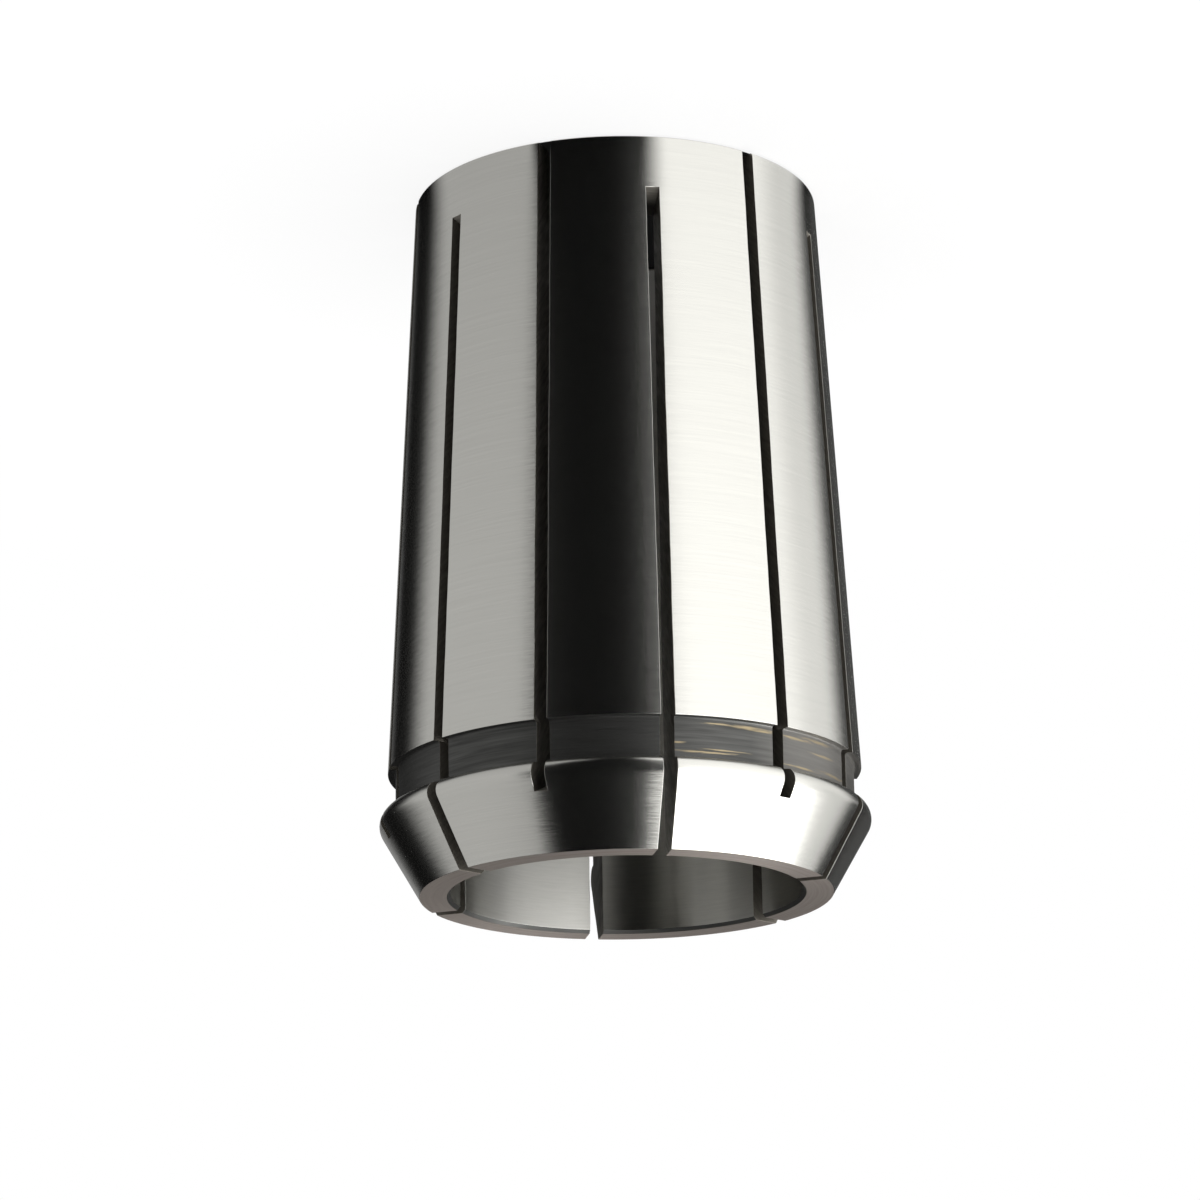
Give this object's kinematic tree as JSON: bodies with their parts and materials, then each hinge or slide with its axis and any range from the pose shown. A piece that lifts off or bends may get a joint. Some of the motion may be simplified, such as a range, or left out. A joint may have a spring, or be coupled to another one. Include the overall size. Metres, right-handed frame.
{
  "type": "spring collet",
  "caption": "Slotted sleeve with a long 1:10 taper, a snap groove and a 30 degree nose cone, which grips a round shank in its bore when a nut presses it into a tapered seat.",
  "frame": {"origin": "centre of the back end, the narrow end of the taper, on which the collet stands", "axes": "+Z along the collet's axis from the back end to the nose face, +X through the middle of a tongue, with the slots 15 degrees to either side of it"},
  "size_m": [0.035, 0.035, 0.052],
  "materials": {
    "ground_steel": "hardened tool steel, ground round the axis to a satin finish, with a dark turned groove and sawn slots"
  },
  "bodies": {
    "root": {"collet": "ground_steel"}
  },
  "joints": []
}
